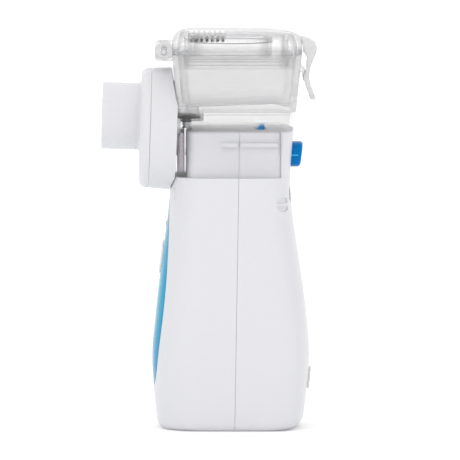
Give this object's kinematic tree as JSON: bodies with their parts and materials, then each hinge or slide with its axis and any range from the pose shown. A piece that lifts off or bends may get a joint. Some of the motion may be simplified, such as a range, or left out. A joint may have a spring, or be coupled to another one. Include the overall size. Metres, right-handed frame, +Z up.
{
  "type": "mesh nebulizer",
  "caption": "Handheld mesh nebulizer standing on its base, with a clear lidded medicine cup, a front vibrating mesh and a round pull-off mouthpiece adapter.",
  "frame": {"origin": "on the flat base, in the body's middle plane, near the parting line of the two shells", "axes": "+Z up from the base to the lid; -Y towards the mouthpiece; +X to the side that has the strap eyelet"},
  "size_m": [0.048, 0.0709, 0.1298],
  "materials": {
    "shell_plastic": "satin white moulded plastic",
    "adapter_plastic": "glossy white moulded plastic",
    "panel_blue": "glossy blue panel, paler towards the top",
    "button_pale": "glossy pale grey-blue",
    "button_blue": "glossy blue",
    "clear_plastic": "clear moulded plastic",
    "clear_silicone": "translucent silicone",
    "frosted_clear": "frosted clear plastic",
    "cover_rubber": "matt grey silicone",
    "steel": "bright stainless steel",
    "gold_contact": "gold-plated spring contact",
    "ceramic": "fired piezo ceramic",
    "circuit_board": "green solder mask",
    "black_plastic": "matt black",
    "grey_plastic": "matt dark grey",
    "cell_can": "plain blue sleeve on a metal can",
    "wire_red": "red insulation",
    "wire_black": "black insulation",
    "wire_white": "white insulation"
  },
  "bodies": {
    "main": {"front_shell": "shell_plastic", "rear_shell": "shell_plastic", "front_panel": "panel_blue", "indicator_lens": "frosted_clear", "indicator_led": "frosted_clear", "main_board": "circuit_board", "tact_switch": "black_plastic", "control_chip": "black_plastic", "power_inductor": "grey_plastic", "battery_cradle": "grey_plastic", "battery_cell_left": "cell_can", "battery_cell_right": "cell_can", "battery_plate_top": "gold_contact", "battery_spring_top": "steel", "case_screw_left": "steel", "case_screw_right": "steel", "battery_lead_red": "wire_red", "battery_lead_black": "wire_black", "contact_lead_left": "wire_white", "contact_lead_right": "wire_white", "contact_pin_left": "gold_contact", "contact_pin_right": "gold_contact", "port_board": "circuit_board", "port_socket": "steel", "release_spring": "steel"},
    "power_button": {"power_button": "button_pale", "switch_plunger": "button_pale"},
    "release_button": {"release_button": "button_blue"},
    "release_latch": {"release_latch": "button_blue"},
    "battery_door": {"battery_door": "shell_plastic", "door_link_plate": "gold_contact"},
    "port_cover": {"port_cover": "cover_rubber"},
    "cup": {"cup_base": "clear_plastic", "cup_reservoir": "clear_plastic", "cup_contact_left": "steel", "cup_contact_right": "steel", "cup_contact_pin_left": "steel", "cup_contact_pin_right": "steel", "mesh_seal": "clear_silicone", "mesh_plate": "steel", "piezo_ring": "ceramic", "mesh_retainer": "grey_plastic", "lid_hinge_pin": "steel"},
    "lid": {"lid": "clear_plastic", "lid_seal": "clear_silicone"},
    "lid_latch": {"lid_latch": "clear_plastic"},
    "adapter": {"adapter_front": "adapter_plastic", "adapter_ring": "adapter_plastic", "adapter_seal": "clear_silicone"}
  },
  "joints": [
    {"name": "power_press", "type": "slide", "parent": "main", "child": "power_button", "axis": [0, 0.991, -0.134], "range_m": [0, 0.0005], "stiffness_N_per_m": 400},
    {"name": "release_press", "type": "slide", "parent": "main", "child": "release_button", "axis": [0, -1, 0], "range_m": [0, 0.0025], "stiffness_N_per_m": 300, "deforming": ["release_spring"]},
    {"name": "release_flex", "type": "hinge", "parent": "main", "child": "release_latch", "pos_m": [0, -0.0045, 0.094], "axis": [-1, 0, 0], "range_deg": [0, 8], "deforming": ["release_latch"]},
    {"name": "door_hinge", "type": "hinge", "parent": "main", "child": "battery_door", "pos_m": [0, 0.0196, 0.0016], "axis": [1, 0, 0], "range_deg": [0, 100]},
    {"name": "port_cover_hinge", "type": "hinge", "parent": "main", "child": "port_cover", "pos_m": [0, 0.02555, 0.0192], "axis": [1, 0, 0], "range_deg": [0, 110]},
    {"name": "cup_slide", "type": "slide", "parent": "main", "child": "cup", "axis": [0, -1, 0], "range_m": [0, 0.0195]},
    {"name": "lid_hinge", "type": "hinge", "parent": "cup", "child": "lid", "pos_m": [0, -0.022, 0.1238], "axis": [1, 0, 0], "range_deg": [0, 110], "deforming": ["lid_latch"]},
    {"name": "lid_latch_flex", "type": "hinge", "parent": "lid", "child": "lid_latch", "pos_m": [0, 0.025, 0.1265], "axis": [1, 0, 0], "range_deg": [0, 9], "stiffness_Nm_per_rad": 0.05},
    {"name": "adapter_slide", "type": "slide", "parent": "cup", "child": "adapter", "axis": [0, -1, 0], "range_m": [0, 0.012]}
  ],
  "couplings": [
    {"joint": "release_flex", "follows": "release_press", "rad_per_m": 51}
  ]
}
